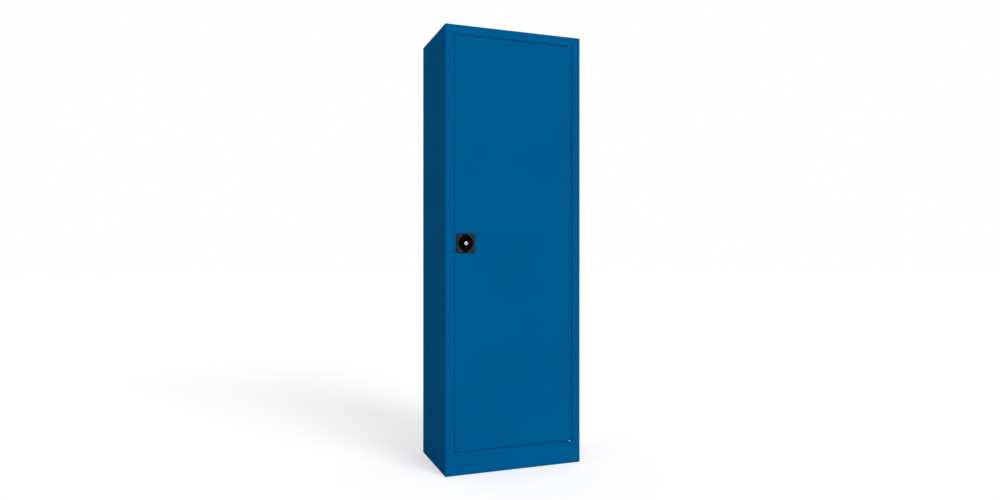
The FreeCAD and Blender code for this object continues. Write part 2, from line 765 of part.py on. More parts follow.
def rod_guide(side, along):
    """A moulded guide on the door's skin that a rod slides through, at a distance from the lock."""
    x = LOCK_X + side * ROD_OFFSET
    z = LOCK_Z + side * along - GUIDE_HEIGHT / 2
    foot = GUIDE_FOOT / 2
    wall = ROD_WIDTH / 2 + RUN_GAP + GUIDE_WALL
    step = SHEET + GUIDE_FOOT_THICK
    roof = ROD_BACK + RUN_GAP + GUIDE_FOOT_THICK
    places = [
        (-foot, SHEET),
        (foot, SHEET),
        (foot, step),
        (wall, step),
        (wall - GUIDE_DRAFT, roof),
        (GUIDE_DRAFT - wall, roof),
        (-wall, step),
        (-foot, step),
    ]
    body = polygon([at(x + u, depth, z) for u, depth in places]).extrude(UP * GUIDE_HEIGHT)
    half = ROD_WIDTH / 2 + RUN_GAP
    window = block((x - half, ROD_FRONT - RUN_GAP, z), (x + half, ROD_BACK + RUN_GAP, z + GUIDE_HEIGHT))
    return body.cut(window)


def rod_guides():
    """Two guides for each rod."""
    far = (DOOR_TOP - DOOR_BOTTOM) / 2 - GUIDE_FROM_END
    places = [(side, along) for side in (1, -1) for along in (GUIDE_FROM_LOCK, far)]
    return Part.makeCompound([rod_guide(side, along) for side, along in places])


def make_parts():
    """Every piece of the cabinet under its own name."""
    parts = {
        "left_side_panel": side_panel(),
        "right_side_panel": mirrored(side_panel()),
        "top_panel": top_panel(),
        "upper_stop_angle": upper_stop_angle(),
        "front_plinth": front_plinth(),
        "bottom_panel": bottom_panel(),
        "back_panel": back_panel(),
        "left_base_angle": side_base_angle(),
        "right_base_angle": mirrored(side_base_angle()),
        "rear_base_angle": rear_base_angle(),
        "shelf_clips": shelf_clips(),
        "pivot_pins": both_ends(pivot_pin()),
        "pivot_bushes": both_ends(pivot_bush()),
        "pivot_plates": both_ends(pivot_plate()),
        "door_buffers": door_buffers(),
        "door_glide": door_glide(),
        "door_panel": door_panel(),
        "door_stiffener": door_stiffener(),
        "handle_plate": handle_plate(),
        "handle_backplate": handle_backplate(),
        "turn_knob": turn_knob(),
        "lock_barrel": lock_barrel(),
        "lock_plug": lock_plug(),
        "spindle": spindle(),
        "spindle_cam": spindle_cam(),
        "spacer_sleeve": spacer_sleeve(),
        "latch_tongue": latch_tongue(),
        "spindle_nut": spindle_nut(),
        "upper_rod": lock_rod(1),
        "lower_rod": lock_rod(-1),
        "rod_guides": rod_guides(),
    }
    for place, depth in RAIL_DEPTHS.items():
        parts["left_" + place + "_shelf_rail"] = shelf_rail(depth)
        parts["right_" + place + "_shelf_rail"] = mirrored(shelf_rail(depth))
    for number, top in enumerate(shelf_heights(), start=1):
        parts["shelf_" + str(number)] = shelf(top)
    return parts


os.makedirs("parts", exist_ok=True)
for name, shape in make_parts().items():
    shape.exportStep("parts/" + name + ".step")
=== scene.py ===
import bmesh
import bpy
import json
import math
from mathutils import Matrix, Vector


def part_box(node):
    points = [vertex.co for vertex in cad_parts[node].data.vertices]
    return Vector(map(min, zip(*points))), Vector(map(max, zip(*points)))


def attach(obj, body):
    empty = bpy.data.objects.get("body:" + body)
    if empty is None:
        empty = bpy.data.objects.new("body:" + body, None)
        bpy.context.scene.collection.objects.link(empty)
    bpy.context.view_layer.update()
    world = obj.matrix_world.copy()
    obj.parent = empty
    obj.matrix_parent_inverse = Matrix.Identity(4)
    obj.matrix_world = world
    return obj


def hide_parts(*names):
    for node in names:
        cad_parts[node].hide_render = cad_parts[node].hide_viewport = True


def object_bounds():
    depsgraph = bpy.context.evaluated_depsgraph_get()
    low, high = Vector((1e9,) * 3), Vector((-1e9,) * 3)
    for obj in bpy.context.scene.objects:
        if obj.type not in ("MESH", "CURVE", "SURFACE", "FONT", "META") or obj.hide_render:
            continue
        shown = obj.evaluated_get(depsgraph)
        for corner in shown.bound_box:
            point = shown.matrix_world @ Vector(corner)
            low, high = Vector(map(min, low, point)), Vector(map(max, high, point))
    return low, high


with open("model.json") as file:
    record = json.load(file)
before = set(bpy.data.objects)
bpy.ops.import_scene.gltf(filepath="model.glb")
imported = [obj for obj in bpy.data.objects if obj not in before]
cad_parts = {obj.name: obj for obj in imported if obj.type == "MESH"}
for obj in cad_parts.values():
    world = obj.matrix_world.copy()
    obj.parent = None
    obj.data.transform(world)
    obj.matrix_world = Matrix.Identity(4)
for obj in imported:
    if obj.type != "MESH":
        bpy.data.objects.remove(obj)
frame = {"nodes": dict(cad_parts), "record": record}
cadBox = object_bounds()
nodes = frame["nodes"]
record = frame["record"]
mm = 0.001
print("frame loaded:", len(nodes), "nodes")

slotOf = {subpart["node"]: subpart["material_slot"] for subpart in record["subparts"]}
bodyOf = {node: body for body, members in record["behaviour"]["bodies"].items() for node in members}
doorLow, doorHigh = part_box("door_panel")
knobLow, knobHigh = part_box("turn_knob")
frontY = doorLow.y  # the door's face, from which depths are counted
lockX = (knobLow.x + knobHigh.x) / 2
lockZ = (knobLow.z + knobHigh.z) / 2
lockCentre = (lockX, frontY, lockZ)


# nodes, for materials and for geometry trees

def feed(tree, socket, value):
    if isinstance(value, bpy.types.NodeSocket):
        tree.links.new(value, socket)
    else:
        socket.default_value = value


def addNode(tree, kind, inputs=None, **settings):
    node = tree.nodes.new(kind)
    for name, value in settings.items():
        setattr(node, name, value)
    for name, value in (inputs or {}).items():
        feed(tree, node.inputs[name], value)
    return node


def doMath(tree, operation, *values):
    node = addNode(tree, "ShaderNodeMath", operation=operation)
    for socket, value in zip(node.inputs, values):
        feed(tree, socket, value)
    return node.outputs["Value"]


def splitVector(tree, vector):
    return addNode(tree, "ShaderNodeSeparateXYZ", {"Vector": vector}).outputs


def combine(tree, x, y, z):
    return addNode(tree, "ShaderNodeCombineXYZ", {"X": x, "Y": y, "Z": z}).outputs["Vector"]


# what the finishes are made of

noiseLow, noiseHigh = 0.3, 0.7  # most of a noise lies between these


def startMaterial(name, metallic=0.0, specular=0.5):
    mat = bpy.data.materials.new(name)
    mat.use_nodes = True
    shader = mat.node_tree.nodes["Principled BSDF"]
    shader.inputs["Metallic"].default_value = metallic
    shader.inputs["Specular IOR Level"].default_value = specular
    return mat, mat.node_tree, shader


def objectCoords(tree, centre=(0, 0, 0), stretch=(1, 1, 1)):
    coords = addNode(tree, "ShaderNodeTexCoord").outputs["Object"]
    values = {"Vector": coords, "Location": centre, "Scale": stretch}
    return addNode(tree, "ShaderNodeMapping", values, vector_type="TEXTURE").outputs["Vector"]


def addNoise(tree, vector, scale, detail):
    values = {"Vector": vector, "Scale": scale, "Detail": detail}
    return addNode(tree, "ShaderNodeTexNoise", values).outputs["Fac"]


def spread(tree, value, low, high, fromLow=noiseLow, fromHigh=noiseHigh):
    values = {"Value": value, "From Min": fromLow, "From Max": fromHigh, "To Min": low, "To Max": high}
    return addNode(tree, "ShaderNodeMapRange", values).outputs["Result"]


def tintBetween(tree, value, dark, light):
    ramp = addNode(tree, "ShaderNodeValToRGB", {"Fac": value})
    for element, place, color in zip(ramp.color_ramp.elements, (noiseLow, noiseHigh), (dark, light)):
        element.position = place
        element.color = (*color, 1)
    return ramp.outputs["Color"]


def mixValues(tree, first, second, share):
    return addNode(tree, "ShaderNodeMix", {"Factor": share, "A": first, "B": second}).outputs["Result"]


def mixColors(tree, first, second, share):
    values = {"Fac": share, "Color1": first, "Color2": second}
    return addNode(tree, "ShaderNodeMixRGB", values).outputs["Color"]


def setSurface(tree, shader, color, roughness):
    feed(tree, shader.inputs["Base Color"], color)
    feed(tree, shader.inputs["Roughness"], roughness)


def addBump(tree, shader, heights, depth):
    normal = None
    for height, share in heights:
        layer = addNode(tree, "ShaderNodeBump", {"Height": height, "Strength": share, "Distance": depth})
        if normal:
            feed(tree, layer.inputs["Normal"], normal)
        normal = layer.outputs["Normal"]
    feed(tree, shader.inputs["Normal"], normal)


# finishes

paint = {
    "dark": (0.0, 0.090, 0.249),
    "light": (0.0, 0.111, 0.293),
    "patchScale": 3.0,  # broad, barely seen changes of shade
    "peelScale": 330.0,  # the ripple of a baked powder coat
    "grainScale": 1300.0,
    "grainTint": 0.45,
    "peelDepth": 0.3 * mm,
    "peelShare": 1.0,
    "grainShare": 0.35,
    "roughness": (0.52, 0.62),
    "specular": 0.001,
}


def bluePaint():
    mat, tree, shader = startMaterial("bluePaint", specular=paint["specular"])
    coords = objectCoords(tree)
    patches = addNoise(tree, coords, paint["patchScale"], detail=4)
    peel = addNoise(tree, coords, paint["peelScale"], detail=2)
    grain = addNoise(tree, coords, paint["grainScale"], detail=1)
    shade = mixValues(tree, patches, grain, paint["grainTint"])
    color = tintBetween(tree, shade, paint["dark"], paint["light"])
    setSurface(tree, shader, color, spread(tree, peel, *paint["roughness"]))
    addBump(tree, shader, [(peel, paint["peelShare"]), (grain, paint["grainShare"])], paint["peelDepth"])
    return mat


zinc = {  # galvanised sheet of the shelves
    "dark": (0.49, 0.50, 0.51),
    "light": (0.56, 0.57, 0.58),
    "spangleScale": 70.0,  # crystals of about 14 mm
    "rollScale": 260.0,
    "rollStretch": (20, 1, 1),  # rolled from side to side
    "rollShare": 0.12,
    "rollDepth": 0.04 * mm,
    "roughness": (0.34, 0.42),
}


def zincPlate():
    mat, tree, shader = startMaterial("zincPlate", metallic=1.0)
    values = {"Vector": objectCoords(tree), "Scale": zinc["spangleScale"]}
    spangle = addNode(tree, "ShaderNodeTexVoronoi", values)
    shades = addNode(tree, "ShaderNodeSeparateColor", {"Color": spangle.outputs["Color"]}).outputs
    roll = addNoise(tree, objectCoords(tree, stretch=zinc["rollStretch"]), zinc["rollScale"], detail=2)
    color = tintBetween(tree, shades["Red"], zinc["dark"], zinc["light"])
    roughness = spread(tree, shades["Green"], *zinc["roughness"], fromLow=0.0, fromHigh=1.0)
    setSurface(tree, shader, color, roughness)
    addBump(tree, shader, [(roll, zinc["rollShare"])], zinc["rollDepth"])
    return mat


plating = {  # the turned and pressed parts of the lock, smoother than the shelves' sheet
    "dark": (0.34, 0.35, 0.37),
    "light": (0.46, 0.46, 0.45),
    "hazeScale": 45.0,
    "drawScale": 1500.0,
    "drawStretch": (1, 1, 12),  # drawing marks run up and down
    "drawShare": 0.3,
    "drawDepth": 0.06 * mm,
    "roughness": (0.26, 0.42),
    "nodes": (
        "pivot_pins", "pivot_plates", "handle_backplate", "spindle", "spindle_cam", "spacer_sleeve",
        "latch_tongue", "spindle_nut", "upper_rod", "lower_rod", "shelf_clips",
    ),
}


def platedSteel():
    mat, tree, shader = startMaterial("platedSteel", metallic=1.0)
    haze = addNoise(tree, objectCoords(tree), plating["hazeScale"], detail=5)
    draw = addNoise(tree, objectCoords(tree, stretch=plating["drawStretch"]), plating["drawScale"], detail=2)
    color = tintBetween(tree, haze, plating["dark"], plating["light"])
    setSurface(tree, shader, color, spread(tree, draw, *plating["roughness"]))
    addBump(tree, shader, [(draw, plating["drawShare"])], plating["drawDepth"])
    return mat


moulding = {"cloudScale": 90.0, "grainShare": 0.25, "grainDepth": 0.06 * mm}  # unless a plastic has its own
plastics = {
    "paleNylon": {
        "dark": (0.70, 0.70, 0.66),
        "light": (0.78, 0.78, 0.75),
        "grainScale": 900.0,
        "roughness": (0.42, 0.52),
        "specular": 0.4,
    },
    "blackRubber": {
        "dark": (0.012, 0.012, 0.012),
        "light": (0.02, 0.02, 0.02),
        "grainScale": 700.0,
        "roughness": (0.75, 0.85),
        "specular": 0.3,
    },
    "blackPlastic": {
        "dark": (0.0008, 0.0008, 0.0009),
        "light": (0.0018, 0.0018, 0.0019),
        "grainScale": 1500.0,
        "roughness": (0.42, 0.52),
        "specular": 0.012,
    },
}


def startPlastic(name, own, centre=(0, 0, 0)):
    values = {**moulding, **own}
    mat, tree, shader = startMaterial(name, specular=values["specular"])
    coords = objectCoords(tree, centre)
    grain = addNoise(tree, coords, values["grainScale"], detail=2)
    cloud = addNoise(tree, coords, values["cloudScale"], detail=3)
    feed(tree, shader.inputs["Roughness"], spread(tree, cloud, *values["roughness"]))
    addBump(tree, shader, [(grain, values["grainShare"])], values["grainDepth"])
    return mat, tree, shader.inputs["Base Color"], coords, grain, cloud


def mouldedPlastic(name):
    own = plastics[name]
    mat, tree, baseColor, _, _, cloud = startPlastic(name, own)
    feed(tree, baseColor, tintBetween(tree, cloud, own["dark"], own["light"]))
    return mat


bushes = {
    "lower": ((0.70, 0.70, 0.66), (0.78, 0.78, 0.75)),  # carries the door
    # the upper bush is coloured darker than the lower one, switched by height above the floor
    "upper": ((0.05, 0.05, 0.053), (0.07, 0.07, 0.073)),
    "upperFrom": 1.0,  # metres above the floor
    "grainScale": 900.0,
    "roughness": (0.42, 0.52),
    "specular": 0.4,
}


def bushNylon():
    mat, tree, baseColor, coords, _, cloud = startPlastic("bushNylon", bushes)
    isUpper = doMath(tree, "GREATER_THAN", splitVector(tree, coords)["Z"], bushes["upperFrom"])
    lower, upper = (tintBetween(tree, cloud, *bushes[end]) for end in ("lower", "upper"))
    feed(tree, baseColor, mixColors(tree, lower, upper, isUpper))
    return mat


plateGrey = {
    "dark": (0.020, 0.020, 0.021),
    "light": (0.030, 0.030, 0.031),
    "paintedShade": (0.009, 0.009, 0.010, 1),
    "paintedShadeStart": 38.2 * mm,  # the face is textured; its border is painted darker, a painted shade for the plate's shaded side walls
    "paintedShadeFull": 40.0 * mm,
    "grainScale": 1400.0,
    "grainTint": 0.5,
    "grainDepth": 0.25 * mm,
    "grainShare": 0.7,
    "roughness": (0.5, 0.6),
    "specular": 0.06,
}


def platePlastic():
    mat, tree, baseColor, coords, grain, cloud = startPlastic("greyPlastic", plateGrey, lockCentre)
    places = splitVector(tree, coords)
    reach = doMath(tree, "MAXIMUM", *(doMath(tree, "ABSOLUTE", places[axis]) for axis in ("X", "Z")))
    # painted shade: the grey turns darker towards the plate's border, standing in for the shade on its side
    # walls
    edge = spread(tree, reach, 0.0, 1.0, plateGrey["paintedShadeStart"], plateGrey["paintedShadeFull"])
    shade = mixValues(tree, cloud, grain, plateGrey["grainTint"])
    face = tintBetween(tree, shade, plateGrey["dark"], plateGrey["light"])
    feed(tree, baseColor, mixColors(tree, face, plateGrey["paintedShade"], edge))
    return mat


nickel = {
    "dark": (0.37, 0.37, 0.38),
    "light": (0.47, 0.47, 0.47),
    "ringScale": 900.0,  # turning marks round the lock's axis
    "ringWander": 1.5,
    "ringShare": 0.1,
    "ringDepth": 0.02 * mm,
    "hazeScale": 300.0,
    "roughness": (0.32, 0.44),
}


def nickelPlate():
    mat, tree, shader = startMaterial("nickelPlate", metallic=1.0)
    coords = objectCoords(tree, lockCentre)
    values = {"Vector": coords, "Scale": nickel["ringScale"], "Distortion": nickel["ringWander"]}
    rings = addNode(tree, "ShaderNodeTexWave", values, wave_type="RINGS", rings_direction="Y")
    haze = addNoise(tree, coords, nickel["hazeScale"], detail=3)
    color = tintBetween(tree, haze, nickel["dark"], nickel["light"])
    setSurface(tree, shader, color, spread(tree, haze, *nickel["roughness"]))
    addBump(tree, shader, [(rings.outputs["Fac"], nickel["ringShare"])], nickel["ringDepth"])
    return mat


finishes = {
    "blue_paint": bluePaint(),
    "zinc_steel": zincPlate(),
    "pale_nylon": mouldedPlastic("paleNylon"),
    "black_rubber": mouldedPlastic("blackRubber"),
    "grey_plastic": platePlastic(),
    "black_plastic": mouldedPlastic("blackPlastic"),
    "lock_metal": nickelPlate(),
}
plated = platedSteel()
nodeFinish = {node: finishes[slot] for node, slot in slotOf.items()}
nodeFinish.update({node: plated for node in plating["nodes"]})
nodeFinish["pivot_bushes"] = bushNylon()
for node, finish in nodeFinish.items():
    for materialSlot in nodes[node].material_slots:
        materialSlot.material = finish
print("materials ready:", len(finishes))


# rings of points joined into skins, for the moulded and turned pieces of the handle

skinSharp = math.radians(35)
tiny = 1e-9


def at(across, depth, up):
    return Vector((lockX + across, frontY + depth, lockZ + up))


def smoothMesh(builder, name, sharpFrom):
    for face in builder.faces:
        face.smooth = True
    mesh = bpy.data.meshes.new(name)
    builder.to_mesh(mesh)
    builder.free()
    mesh.set_sharp_from_angle(angle=sharpFrom)
    return mesh


def addPiece(name, mesh, body):
    piece = bpy.data.objects.new(name, mesh)
    bpy.context.collection.objects.link(piece)
    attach(piece, body)
    return piece


def skin(name, rings, slot, body, closed):
    builder = bmesh.new()
    rows = [[builder.verts.new(point) for point in ring] for ring in rings]
    following = rows[1:] + rows[:1] if closed else rows[1:]
    for row, nextRow in zip(rows, following):
        for i in range(len(row)):
            builder.faces.new((row[i - 1], row[i], nextRow[i], nextRow[i - 1]))
    if not closed:
        builder.faces.new(rows[0])
        builder.faces.new(rows[-1])
    bmesh.ops.recalc_face_normals(builder, faces=builder.faces)
    mesh = smoothMesh(builder, name, skinSharp)
    mesh.materials.append(finishes[slot])
    return addPiece(name, mesh, body)


def directions(count):
    turns = [2 * math.pi * i / count for i in range(count)]
    return [(math.cos(turn), math.sin(turn)) for turn in turns]


def circle(radius, depth, count):
    return [at(radius * c, depth, radius * s) for c, s in directions(count)]


def roundedBox(wide, tall, corner, depth, count):
    ring = []
    middleX, middleZ = wide - corner, tall - corner
    for c, s in directions(count):
        reach = min(wide / max(abs(c), tiny), tall / max(abs(s), tiny))
        if abs(c) * reach > middleX and abs(s) * reach > middleZ:  # the ray leaves through a rounded corner
            along = middleX * abs(c) + middleZ * abs(s)
            reach = along + math.sqrt(along * along - middleX * middleX - middleZ * middleZ + corner * corner)
        ring.append(at(reach * c, depth, reach * s))
    return ring


def quarter(steps):
    turns = [math.pi / 2 * i / steps for i in range(steps + 1)]
    return [(math.sin(turn), math.cos(turn)) for turn in turns]


# handle plate: a square moulding with a round dish and a cup behind it

plate = {
    "corner": 11.0 * mm,
    "edgeRound": 2.0 * mm,
    "edgeSteps": 6,
    "dishRadius": 33.6 * mm,
    "dishRound": 0.8 * mm,
    "dishFloor": 3.0 * mm,
    "floorRound": 1.2 * mm,
    "dishSteps": 4,
    "boreRadius": 5.05 * mm,
    "cupRadius": 35.6 * mm,
    "sides": 192,
}


def handlePlate():
    low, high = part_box("handle_plate")
    half = (high.x - low.x) / 2
    front = low.y - frontY
    cupBack = high.y - frontY
    sides = plate["sides"]
    edge = plate["edgeRound"]
    rings = [roundedBox(half, half, plate["corner"], 0, sides)]
    for sine, cosine in quarter(plate["edgeSteps"]):  # the rounded front edge
        inner = half - edge * (1 - cosine)
        corner = plate["corner"] - edge * (1 - cosine)
        rings.append(roundedBox(inner, inner, corner, front + edge * (1 - sine), sides))
    for sine, cosine in quarter(plate["dishSteps"]):  # over the lip of the dish
        radius = plate["dishRadius"] + plate["dishRound"] * (1 - sine)
        rings.append(circle(radius, front + plate["dishRound"] * (1 - cosine), sides))
    for sine, cosine in quarter(plate["dishSteps"]):  # into the floor of the dish
        radius = plate["dishRadius"] - plate["floorRound"] * (1 - cosine)
        rings.append(circle(radius, plate["dishFloor"] - plate["floorRound"] * (1 - sine), sides))
    rings.append(circle(plate["boreRadius"], plate["dishFloor"], sides))
    rings.append(circle(plate["boreRadius"], cupBack, sides))
    rings.append(circle(plate["cupRadius"], cupBack, sides))
    rings.append(circle(plate["cupRadius"], 0, sides))
    piece = skin("handlePlateMoulding", rings, "grey_plastic", "door", closed=True)
    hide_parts("handle_plate")


handlePlate()


# turn knob: a shallow bowl with a rim, and a hub round the lock

knob = {
    "base": 3.0 * mm,
    "rimHeight": 3.2 * mm,
    "rimWidth": 3.4 * mm,
    "rimSlope": 1.6 * mm,
    "rimRound": 1.0 * mm,
    "hubRadius": 12.0 * mm,
    "hubSlope": 1.2 * mm,
    "pocketRadius": 8.05 * mm,
    "pocketDepth": 6.0 * mm,
    "sides": 256,
    "rings": 96,
}


def rise(distance, slope):
    t = min(max(distance / slope, 0), 1)
    return t * t * (3 - 2 * t)


def knobHeight(radius, outerRadius, hubHeight):
    rimStart = outerRadius - knob["rimWidth"] - knob["rimSlope"]
    rim = knob["rimHeight"] * rise(radius - rimStart, knob["rimSlope"])
    hub = hubHeight * rise(knob["hubRadius"] - radius, knob["hubSlope"])
    fall = max(radius - (outerRadius - knob["rimRound"]), 0) / knob["rimRound"]
    edge = knob["rimRound"] * (1 - math.sqrt(max(1 - fall * fall, 0)))
    return max(rim, hub) - edge


def turnKnob():
    outerRadius = (knobHigh.x - knobLow.x) / 2
    back = knobHigh.y - frontY
    floor = back - knob["base"]
    hubHeight = floor - (knobLow.y - frontY)
    pocket = knob["pocketRadius"]
    count = knob["rings"]
    rings = [circle(pocket, floor - hubHeight + knob["pocketDepth"], knob["sides"])]
    for step in range(count + 1):
        radius = pocket + (outerRadius - pocket) * step / count
        rings.append(circle(radius, floor - knobHeight(radius, outerRadius, hubHeight), knob["sides"]))
    rings.append(circle(outerRadius, back, knob["sides"]))
    piece = skin("turnKnobMoulding", rings, "black_plastic", "knob", closed=False)
    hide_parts("turn_knob")


turnKnob()


# grip: a long bar that reaches over the plate, on a stem that stands in the bowl

gripBar = {
    "underside": -4.3 * mm,  # just clear of the plate's face
    "ridge": -8.0 * mm,
    "length": 77.0 * mm,
    "width": 19.0 * mm,
    "corner": 4.0 * mm,
    "leastCorner": 0.6 * mm,
    "draft": 0.3,  # how far the sides lean in for each part of their height
    "shoulder": 1.3 * mm,
    "shoulderSteps": 5,
    "crown": 0.25 * mm,
    "crownInset": 2.0 * mm,  # from the shoulder to where the crown is nearly full
    "crownLeft": 0.3,  # the share of the crown that is still to rise there
    "hole": 8.6 * mm,  # hidden in the hub
    "softEdge": 0.4 * mm,
    "sides": 256,
}
gripStem = {
    "foot": -0.2 * mm,
    "top": -4.5 * mm,
    "footWidth": 22.0 * mm,
    "topWidth": 18.6 * mm,
    "length": 60.0 * mm,
    "corner": 3.0 * mm,
}


def barOutline(inset, depth):
    wide, tall = gripBar["width"] / 2, gripBar["length"] / 2
    corner = max(gripBar["corner"] - inset, gripBar["leastCorner"])
    return roundedBox(wide - inset, tall - inset, corner, depth, gripBar["sides"])


def knobGrip():
    low, high, hole = gripBar["underside"], gripBar["ridge"], gripBar["hole"]
    shoulder, soft, crown = gripBar["shoulder"], gripBar["softEdge"], gripBar["crown"]
    sides = gripBar["sides"]
    lean = gripBar["draft"] * (low - high - shoulder)
    rings = [circle(hole, low, sides), barOutline(soft, low), barOutline(0.0, low - soft)]
    for sine, cosine in quarter(gripBar["shoulderSteps"]):
        rings.append(barOutline(lean + shoulder * (1 - cosine), high + crown + shoulder * (1 - sine)))
    rings.append(barOutline(lean + shoulder + gripBar["crownInset"], high + gripBar["crownLeft"] * crown))
    rings.append(circle(hole, high, sides))
    skin("gripBarMoulding", rings, "black_plastic", "knob", closed=True)

    half, corner = gripStem["length"] / 2, gripStem["corner"]
    rings = [
        circle(hole, gripStem["foot"], sides),
        roundedBox(gripStem["footWidth"] / 2, half, corner, gripStem["foot"], sides),
        roundedBox(gripStem["topWidth"] / 2, half, corner, gripStem["top"], sides),
        circle(hole, gripStem["top"], sides),
    ]
    skin("gripStemMoulding", rings, "black_plastic", "knob", closed=True)


knobGrip()


# webs that widen the ends of the grip until they meet the round of the bowl

gripWeb = {
    "tip": (8.3 * mm, 37.3 * mm),  # on the rounded corner of the grip
    "round": 33.0 * mm,
    "roundTurn": math.radians(54.5),
    "innerStart": 30.0 * mm,
    "innerEnd": 32.5 * mm,
    "foot": -3.4 * mm,  # sunk a little into the bowl's rim
    "underside": -4.3 * mm,
    "front": -5.8 * mm,
    "endFront": -4.6 * mm,
    "edge": 0.4 * mm,
    "edgeSteps": 3,
    "leastReach": 0.05 * mm,  # past the bowl's round
    "steps": 24,
}


def between(first, last, share):
    return first + (last - first) * share


def webProfile(share):
    tipX, tipZ = gripWeb["tip"]
    outer = gripWeb["round"]
    across = between(tipX, outer * math.cos(gripWeb["roundTurn"]), share)
    inner = between(gripWeb["innerStart"], gripWeb["innerEnd"], share * share)
    near = math.sqrt(inner * inner - across * across)
    rim = math.sqrt(outer * outer - across * across)
    far = max(between(tipZ, outer * math.sin(gripWeb["roundTurn"]), share), rim + gripWeb["leastReach"])
    low = gripWeb["underside"]
    front = between(gripWeb["front"], gripWeb["endFront"], share * share)
    edge = min(gripWeb["edge"], (low - front) / 2)
    profile = [(near, gripWeb["foot"]), (rim, gripWeb["foot"]), (rim, low), (far, low)]
    for sine, cosine in quarter(gripWeb["edgeSteps"]):
        profile.append((far - edge * (1 - cosine), front + edge * (1 - sine)))
    profile.append((near, front))
    return across, profile


def gripWebs():
    for end, mirrorZ in (("Upper", 1), ("Lower", -1)):
        for side, mirrorX in (("Left", -1), ("Right", 1)):
            rings = []
            for i in range(gripWeb["steps"] + 1):
                across, profile = webProfile(i / gripWeb["steps"])
                rings.append([at(mirrorX * across, depth, mirrorZ * up) for up, depth in profile])
            skin("gripWeb" + end + side, rings, "black_plastic", "knob", closed=False)


gripWebs()


# lock barrel: a turned sleeve with softened edges

barrel = {
    "wall": 1.95 * mm,
    "frontRound": 0.7 * mm,
    "frontSteps": 5,
    "innerRound": 0.25 * mm,
    "innerSteps": 3,
    "sides": 128,
}


def lockBarrel():
    low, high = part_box("lock_barrel")
    outer = (high.x - low.x) / 2
    inner = outer - barrel["wall"]
    front = low.y - frontY
    back = high.y - frontY
    rings = [circle(outer, back, barrel["sides"])]
    for sine, cosine in quarter(barrel["frontSteps"]):
        radius = outer - barrel["frontRound"] * (1 - cosine)
        rings.append(circle(radius, front + barrel["frontRound"] * (1 - sine), barrel["sides"]))
    for sine, cosine in quarter(barrel["innerSteps"]):
        radius = inner + barrel["innerRound"] * (1 - sine)
        rings.append(circle(radius, front + barrel["innerRound"] * (1 - cosine), barrel["sides"]))
    rings.append(circle(inner, back, barrel["sides"]))
    piece = skin("lockBarrelSleeve", rings, "lock_metal", "knob", closed=True)
    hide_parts("lock_barrel")


lockBarrel()


# lock plug: a turned face, with a black sheet just inside the keyway as painted shade for the slot's depth

plug = {
    "edgeRound": 0.35 * mm,
    "edgeSteps": 4,
    "slotWidth": 3.0 * mm,
    "slotHeight": 9.0 * mm,
    "slotSquareness": 3,  # how soon the slot's ends reach its full width
    "mouthRound": 0.2 * mm,
    "mouthSteps": 3,
    "shadeSheetDepth": 0.4 * mm,
    "slotDepth": 4.0 * mm,
    "sides": 128,
}


def keyway(grow, depth):
    wide = plug["slotWidth"] / 2 + grow
    tall = plug["slotHeight"] / 2 + grow
    ring = []
    for c, s in directions(plug["sides"]):
        ring.append(at(wide * max(-1, min(1, plug["slotSquareness"] * c)), depth, tall * s))
    return ring


def lockPlug():
    low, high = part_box("lock_plug")
    outer = (high.x - low.x) / 2
    front = low.y - frontY
    back = high.y - frontY
    edge, mouth = plug["edgeRound"], plug["mouthRound"]
    rings = [circle(outer, back, plug["sides"])]
    for sine, cosine in quarter(plug["edgeSteps"]):
        rings.append(circle(outer - edge * (1 - cosine), front + edge * (1 - sine), plug["sides"]))
    for sine, cosine in quarter(plug["mouthSteps"]):
        rings.append(keyway(mouth * (1 - sine), front + mouth * (1 - cosine)))
    rings.append(keyway(0, front + plug["slotDepth"]))
    piece = skin("lockPlugFace", rings, "lock_metal", "key_plug", closed=False)
    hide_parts("lock_plug")
    # painted shade: a black sheet just inside the keyway makes the slot look deep and dark
    shadeSheet = [keyway(0, front + plug["shadeSheetDepth"]), keyway(0, front + plug["slotDepth"])]
    skin("keywayShadeSheet", shadeSheet, "black_plastic", "key_plug", closed=False)


lockPlug()
print("handle ready")


# pressed, turned and moulded small parts: the nodes' own shapes with their sharp edges broken

pressedEdge = 0.35 * mm
brokenEdges = {
    "segments": 2,
    "profile": 0.5,
    "sharperThan": math.radians(30),
    "flatterThan": math.radians(0.5),
    "mergeWithin": 0.002 * mm,
    "pieces": {
        "latch_tongue": ("latchTonguePressed", pressedEdge),
        "spindle_cam": ("spindleCamPressed", pressedEdge),
        "spindle_nut": ("spindleNutTurned", pressedEdge),
        "spindle": ("spindleTurned", pressedEdge),
        "spacer_sleeve": ("spacerSleeveTurned", pressedEdge),
        "upper_rod": ("upperRodPressed", pressedEdge),
        "lower_rod": ("lowerRodPressed", pressedEdge),
        "handle_backplate": ("backplatePressed", pressedEdge),
        "pivot_plates": ("pivotPlatesPressed", pressedEdge),
        "pivot_pins": ("pivotPinsTurned", 0.4 * mm),
        "shelf_clips": ("shelfClipsPressed", pressedEdge),
        "rod_guides": ("rodGuidesMoulded", 0.6 * mm),
        "door_buffers": ("doorBuffersMoulded", 0.8 * mm),
    },
}


